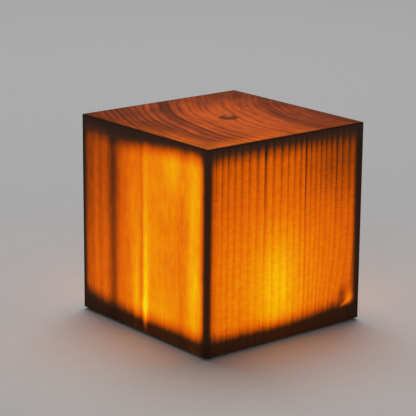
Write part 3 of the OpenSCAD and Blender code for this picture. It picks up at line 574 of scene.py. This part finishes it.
def cube_timber():
    """Oiled softwood with light behind it: dark where it is solid, amber where the wall is thin."""
    material, tree, shader = new_material("oiled_softwood", Roughness=0.6, Specular_IOR_Level=0.05,
                                          Emission_Strength=1.0)
    place = place_mm(tree)
    rings = use(tree, RINGS, Place=place, Sway=0.7)
    grain = use(tree, FIBRE, Place=place)
    x, y, z = split(tree, place)

    on_flat = smooth(tree, x, FACE_STARTS - HALF, FACE_FULL - HALF)
    on_quarter = times(tree, smooth(tree, y, FACE_STARTS - HALF, FACE_FULL - HALF),
                       subtract(tree, 1.0, on_flat))
    on_right = smooth(tree, x, HALF - FACE_STARTS, HALF - FACE_FULL)
    on_rear = times(tree, smooth(tree, y, HALF - FACE_STARTS, HALF - FACE_FULL),
                    subtract(tree, 1.0, on_right))
    sides = times(tree, flat_face_light(tree, y, z, place, grain), on_flat)
    quarter = quarter_face_light(tree, x, z, place, rings, grain)
    sides = add(tree, sides, times(tree, quarter, on_quarter))
    sides = add(tree, sides, times(tree, hidden_side_light(tree, y, z, rings, grain), on_right))
    sides = add(tree, sides, times(tree, hidden_side_light(tree, x, z, rings, grain), on_rear))
    texture = add(tree, 1.0, times(tree, subtract(tree, grain["Streak"], 0.5), 0.45))
    texture = add(tree, texture, times(tree, subtract(tree, grain["Mottle"], 0.5), 0.40))
    texture = add(tree, texture, times(tree, subtract(tree, grain["Grit"], 0.5), 0.30))
    sides = times(tree, sides, texture)
    side_glow = ramp(tree, maths(tree, "DIVIDE", sides, GLOW_FULL), GLOW_STOPS)

    on_top = smooth(tree, z, TIMBER_TOP - 0.25, TIMBER_TOP - 0.05)
    top_glow = ramp(tree, top_light(tree, x, y, place, rings, grain), TOP_STOPS)
    nearest = maths(tree, "MAXIMUM", times(tree, x, -1.0), times(tree, y, -1.0))
    front = times(tree, smooth(tree, nearest, 33.0, 48.0),
                  smooth(tree, add(tree, x, y), -18.0, -84.0, 0.1, 1.0))
    front = times(tree, front, smooth(tree, grain["Mottle"], 0.25, 0.55, 0.45, 1.0))
    front = times(tree, front, smooth(tree, nearest, TOP_OUT, TOP_FULL))
    front = times(tree, front, smooth(tree, rings["Hair lines"], 0.30, 0.52, 0.35, 1.0))
    front_glow = ramp(tree, front, FRONT_GLOW)
    glow = mixed(tree, on_top, side_glow, mixed(tree, 1.0, top_glow, front_glow, "ADD"))
    put(tree, shader.inputs["Emission Color"], glow)

    late = times(tree, rings["Late wood"], rings["Year strength"])
    body = ramp(tree, add(tree, times(tree, late, 0.7), times(tree, grain["Streak"], 0.3)), SIDE_BODY)
    # Painted light: the sides' band just under the top edge is made lighter
    body = mixed(tree, smooth(tree, z, 90.0, 99.0, 0.0, 0.75), body, UPPER_PAINTED_LIGHT_BODY)
    # Painted shade: the bevel along the sides' top edge is darkened
    bevel_shade = smooth(tree, z, TIMBER_TOP - 0.7, TIMBER_TOP - 0.4, 0.0, 0.8)
    body = mixed(tree, bevel_shade, body, BEVEL_PAINTED_SHADE)
    lit = smooth(tree, sides, 0.01, 0.22, 0.0, 0.94)
    body = mixed(tree, lit, body, LIT_BODY)
    top_body = ramp(tree, late, TOP_BODY)
    # Painted shade: the top's base colour is darker and redder towards its two front edges
    top_body = mixed(tree, smooth(tree, nearest, 28.0, 44.0, 0.0, 0.8), top_body, FRONT_PAINTED_SHADE_BODY)
    put(tree, shader.inputs["Base Color"], mixed(tree, on_top, body, top_body))
    put(tree, shader.inputs["Roughness"], add(tree, 0.48, times(tree, grain["Mottle"], 0.25)))
    height = add(tree, times(tree, grain["Streak"], 0.6), times(tree, late, 0.5))
    relief(tree, shader, height, 0.12 * MM, 0.5)
    return material


# ---------------------------------------------------------------- plain materials for the other pieces


def speckle():
    """Group: a moulded or cast surface's fine texture, and slow handling marks."""
    tree, given, taken = new_group("speckle", [("Place", "Vector", None), ("Scale", "Float", 2.0)],
                                   [("Texture", "Float"), ("Marks", "Float")])
    put(tree, taken["Texture"], noise(tree, given["Place"], given["Scale"], 3.0, 0.6))
    put(tree, taken["Marks"], noise(tree, given["Place"], 0.12, 3.0, 0.65))
    return tree


SPECKLE = speckle()


def moulded(name, colour, dark, scale=2.5, depth=0.03, roughness=0.45, spread=0.2, **constants):
    """Moulded plastic, rubber or foam: a fine texture, slightly uneven colour and sheen."""
    material, tree, shader = new_material(name, **constants)
    marks = use(tree, SPECKLE, Place=place_mm(tree), Scale=scale)
    share = add(tree, times(tree, marks["Texture"], 0.5), times(tree, marks["Marks"], 0.5))
    put(tree, shader.inputs["Base Color"], ramp(tree, share, [(0.3, dark), (0.7, colour)]))
    put(tree, shader.inputs["Roughness"], add(tree, roughness, times(tree, marks["Marks"], spread)))
    relief(tree, shader, marks["Texture"], depth * MM)
    return material


def metal(name, colour, dark, turned=True, roughness=0.28, middle=(0, 0), **constants):
    """Turned or drawn metal: fine tool marks in rings or along Z, and a little tarnish."""
    material, tree, shader = new_material(name, Metallic=1.0, **constants)
    place = place_mm(tree)
    marks = use(tree, SPECKLE, Place=place, Scale=1.2)
    x, y, z = split(tree, place)
    dx, dy = subtract(tree, x, middle[0]), subtract(tree, y, middle[1])
    if turned:
        along = maths(tree, "SQRT", add(tree, times(tree, dx, dx), times(tree, dy, dy)))
    else:
        along = add(tree, dx, dy)
    lines = noise(tree, joined(tree, times(tree, along, 9.0), times(tree, z, 9.0), 0.0), 1.0, 2.0)
    share = add(tree, times(tree, marks["Marks"], 0.7), times(tree, lines, 0.3))
    put(tree, shader.inputs["Base Color"], ramp(tree, share, [(0.35, dark), (0.65, colour)]))
    put(tree, shader.inputs["Roughness"], add(tree, roughness, times(tree, lines, 0.22)))
    relief(tree, shader, lines, 0.01 * MM)
    return material


def plain_timber(name, pale, dark, scale=0.5, across=(1.0, 0.06, 1.0)):
    """Planed timber or plywood: soft grain lines along one way of the board."""
    material, tree, shader = new_material(name, Specular_IOR_Level=0.3)
    place = place_mm(tree)
    grain = noise(tree, stretched(tree, place, *across), scale, 4.0, 0.6)
    lines = maths(tree, "FRACT", times(tree, grain, 7.0))
    share = add(tree, times(tree, smooth(tree, lines, 0.2, 1.0), 0.6), times(tree, grain, 0.4))
    put(tree, shader.inputs["Base Color"], ramp(tree, share, [(0.1, pale), (0.9, dark)]))
    put(tree, shader.inputs["Roughness"], add(tree, 0.5, times(tree, grain, 0.3)))
    relief(tree, shader, share, 0.05 * MM)
    return material


def glowing(name, colour, bright, dim, strength, **constants):
    """A lit plastic: brighter towards the middle of the lamp, with the moulding's faint texture."""
    material, tree, shader = new_material(name, Emission_Strength=strength, **constants)
    place = place_mm(tree)
    marks = use(tree, SPECKLE, Place=place, Scale=0.8)
    x, y, _ = split(tree, place)
    out = maths(tree, "SQRT", add(tree, times(tree, x, x), times(tree, y, y)))
    share = add(tree, smooth(tree, out, 22.0, 6.0), times(tree, subtract(tree, marks["Marks"], 0.5), 0.4))
    put(tree, shader.inputs["Emission Color"], ramp(tree, share, [(0.0, dim), (1.0, bright)]))
    put(tree, shader.inputs["Base Color"],
        ramp(tree, marks["Marks"], [(0.3, tuple(c * 0.9 for c in colour)), (0.7, colour)]))
    put(tree, shader.inputs["Roughness"], add(tree, 0.35, times(tree, marks["Texture"], 0.2)))
    return material


# The button's axis, for the marks that turning leaves on metal
BUTTON = [(a + b) / 2 / MM for a, b in zip(*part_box("button_cap"))][:2]

dress(cube_timber(), "timber_cube")
dress(plain_timber("post_softwood", (0.60, 0.40, 0.20), (0.42, 0.25, 0.11)), "corner_posts")
dress(plain_timber("birch_plywood", (0.52, 0.37, 0.21), (0.36, 0.23, 0.12), 0.25), "base_board")
dress(metal("blackened_steel", (0.09, 0.09, 0.10), (0.03, 0.03, 0.03), False, 0.35), "base_screws")
dress(metal("bright_steel", (0.70, 0.70, 0.72), (0.48, 0.48, 0.50), False),
      "tray_screws", "lid_screws", "board_screws", "light_board_screws", "barrel_washer")
dress(moulded("foot_rubber", (0.030, 0.030, 0.032), (0.014, 0.014, 0.015), 1.8, 0.05, 0.65),
      "rubber_feet")
dress(moulded("sleeve_rubber", (0.022, 0.022, 0.024), (0.012, 0.012, 0.013), 2.4, 0.02, 0.5), "lug_sleeve")
dress(moulded("pod_plastic", (0.80, 0.79, 0.75), (0.70, 0.68, 0.63), 3.5, 0.03), "pod_tray", "pod_lid")
dress(moulded("clip_nylon", (0.82, 0.81, 0.77), (0.72, 0.70, 0.65), 3.0, 0.02), "lead_clips")
dress(moulded("connector_nylon", (0.80, 0.76, 0.64), (0.66, 0.61, 0.48), 3.0, 0.02), "lead_connectors")
dress(moulded("cell_foil", (0.62, 0.65, 0.70), (0.46, 0.49, 0.55), 0.6, 0.06, 0.28, 0.2, Metallic=0.8),
      "battery_cell")
dress(moulded("foam_tape", (0.06, 0.06, 0.065), (0.02, 0.02, 0.022), 3.0, 0.12, 0.85, 0.1), "battery_pad")
dress(moulded("solder_mask", (0.016, 0.135, 0.050), (0.009, 0.085, 0.030), 1.0, 0.02, 0.22), "control_board")
dress(moulded("chip_epoxy", (0.022, 0.022, 0.024), (0.010, 0.010, 0.011), 4.0, 0.02, 0.55), "board_chips")
dress(moulded("choke_ferrite", (0.070, 0.070, 0.074), (0.035, 0.034, 0.036), 2.0, 0.06, 0.5), "choke")
dress(moulded("tongue_plastic", (0.020, 0.020, 0.022), (0.010, 0.010, 0.011), 3.0, 0.01, 0.4),
      "socket_tongue")
dress(metal("socket_steel", (0.66, 0.66, 0.66), (0.45, 0.45, 0.46), False), "charging_socket")
dress(moulded("liner_plastic", (0.040, 0.024, 0.015), (0.022, 0.013, 0.008), 3.0, 0.02, 0.5), "port_liner")
dress(moulded("white_solder_mask", (0.86, 0.86, 0.84), (0.76, 0.76, 0.73), 1.0, 0.01, 0.25), "light_board")
dress(moulded("switch_phenolic", (0.030, 0.028, 0.028), (0.014, 0.013, 0.013), 2.5, 0.02, 0.4),
      "switch_body")
dress(moulded("lead_silicone", (0.38, 0.030, 0.022), (0.25, 0.016, 0.012), 2.0, 0.02, 0.45),
      "battery_lead", "light_lead")
dress(moulded("lead_rubber", (0.050, 0.050, 0.052), (0.028, 0.028, 0.030), 2.0, 0.02, 0.5), "switch_lead")
dress(metal("turned_brass", (0.70, 0.48, 0.20), (0.48, 0.30, 0.11), True, 0.25, BUTTON),
      "barrel_nut", "switch_contacts", "contact_bridge")
dress(metal("spring_steel", (0.60, 0.60, 0.62), (0.40, 0.40, 0.42), True, 0.25, BUTTON), "button_spring")
dress(moulded("rim_lacquer", (0.40, 0.105, 0.022), (0.27, 0.066, 0.015), 1.6, 0.02, 0.55,
              Specular_IOR_Level=0.06), "button_rim")
dress(moulded("button_lacquer", (0.72, 0.24, 0.10), (0.56, 0.17, 0.066), 1.6, 0.02, 0.55,
              Specular_IOR_Level=0.06), "button_cap")
dress(glowing("opal_acrylic", (0.90, 0.85, 0.75), (1.0, 0.60, 0.22), (0.70, 0.30, 0.07), 1.1), "opal_cap")
dress(glowing("diode_phosphor", (0.90, 0.72, 0.25), (1.0, 0.68, 0.28), (0.95, 0.55, 0.18), 1.6),
      "light_diodes")
dress(glowing("charge_light", (0.55, 0.85, 0.60), (0.05, 0.5, 0.12), (0.04, 0.4, 0.10), 1.0), "charge_lamp")

# ---------------------------------------------------------------- the button's spring

SPRING_WIRE = 0.5 * MM
SPRING_TURNS = 5
SPRING_STEPS = 24
WIRE_SIDES = 10


def make_spring():
    """The button's coil spring as one closed wire, which shortens when the button goes down."""
    low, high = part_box("button_spring")
    middle = (low + high) / 2
    reach = (high.x - low.x - SPRING_WIRE) / 2
    start = low.z + SPRING_WIRE / 2
    rise = high.z - low.z - SPRING_WIRE
    last = SPRING_TURNS * SPRING_STEPS
    points = []
    for i in range(last + 1):
        turn = 2 * math.pi * i / SPRING_STEPS
        for k in range(WIRE_SIDES):
            side = 2 * math.pi * k / WIRE_SIDES
            out = reach + SPRING_WIRE / 2 * math.cos(side)
            points.append((middle.x + out * math.cos(turn), middle.y + out * math.sin(turn),
                           start + rise * i / last + SPRING_WIRE / 2 * math.sin(side)))
    faces = [tuple(range(WIRE_SIDES)), tuple(reversed(range(last * WIRE_SIDES, (last + 1) * WIRE_SIDES)))]
    for i in range(last):
        for k in range(WIRE_SIDES):
            here, beside = i * WIRE_SIDES + k, i * WIRE_SIDES + (k + 1) % WIRE_SIDES
            faces.append((here, here + WIRE_SIDES, beside + WIRE_SIDES, beside))
    data = bpy.data.meshes.new("coil_spring")
    data.from_pydata(points, [], faces)
    data.materials.append(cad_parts["button_spring"].data.materials[0])
    data.shade_smooth()
    spring = bpy.data.objects.new("coil_spring", data)
    bpy.context.scene.collection.objects.link(spring)
    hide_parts("button_spring")
    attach(spring, "lamp")
    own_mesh(spring)


make_spring()

# ---------------------------------------------------------------- the floor and the studio light


def make_floor():
    """A plain pale floor, level with the bottom of the feet."""
    material, tree, shader = new_material("pale_floor", Roughness=0.7, Specular_IOR_Level=0.2)
    marks = use(tree, SPECKLE, Place=place_mm(tree), Scale=0.02)
    put(tree, shader.inputs["Base Color"],
        ramp(tree, marks["Marks"], [(0.3, (0.80, 0.79, 0.77)), (0.7, (0.82, 0.81, 0.79))]))
    half = 3.0
    data = bpy.data.meshes.new("floor")
    data.from_pydata([(-half, -half, 0), (half, -half, 0), (half, half, 0), (-half, half, 0)], [],
                     [(0, 1, 2, 3)])
    data.materials.append(material)
    floor = bpy.data.objects.new("floor", data)
    bpy.context.scene.collection.objects.link(floor)


def make_light(name, place, size, power, colour):
    """A square soft box that faces the middle of the lamp."""
    data = bpy.data.lights.new(name, "AREA")
    data.size = size
    data.energy = power
    data.color = colour
    light = bpy.data.objects.new(name, data)
    light.location = place
    aim = Vector((0, 0, HALF * MM)) - Vector(place)
    light.rotation_mode = "QUATERNION"
    light.rotation_quaternion = aim.to_track_quat("-Z", "Y")
    bpy.context.scene.collection.objects.link(light)


def make_studio():
    """A dim, soft studio: a wide light above and behind, and a low even fill."""
    world = bpy.data.worlds.new("studio")
    bpy.context.scene.world = world
    world.use_nodes = True
    sky = world.node_tree.nodes["Background"]
    sky.inputs["Color"].default_value = (0.90, 0.94, 1.0, 1)
    sky.inputs["Strength"].default_value = 0.06
    make_light("overhead", (0.5, 0.7, 2.2), 1.6, 27.0, (0.97, 0.98, 1.0))
    make_light("fill", (-1.5, -1.6, 1.1), 1.2, 5.0, (1.0, 0.97, 0.93))
    bpy.context.scene.view_settings.view_transform = "Standard"


make_floor()
make_studio()
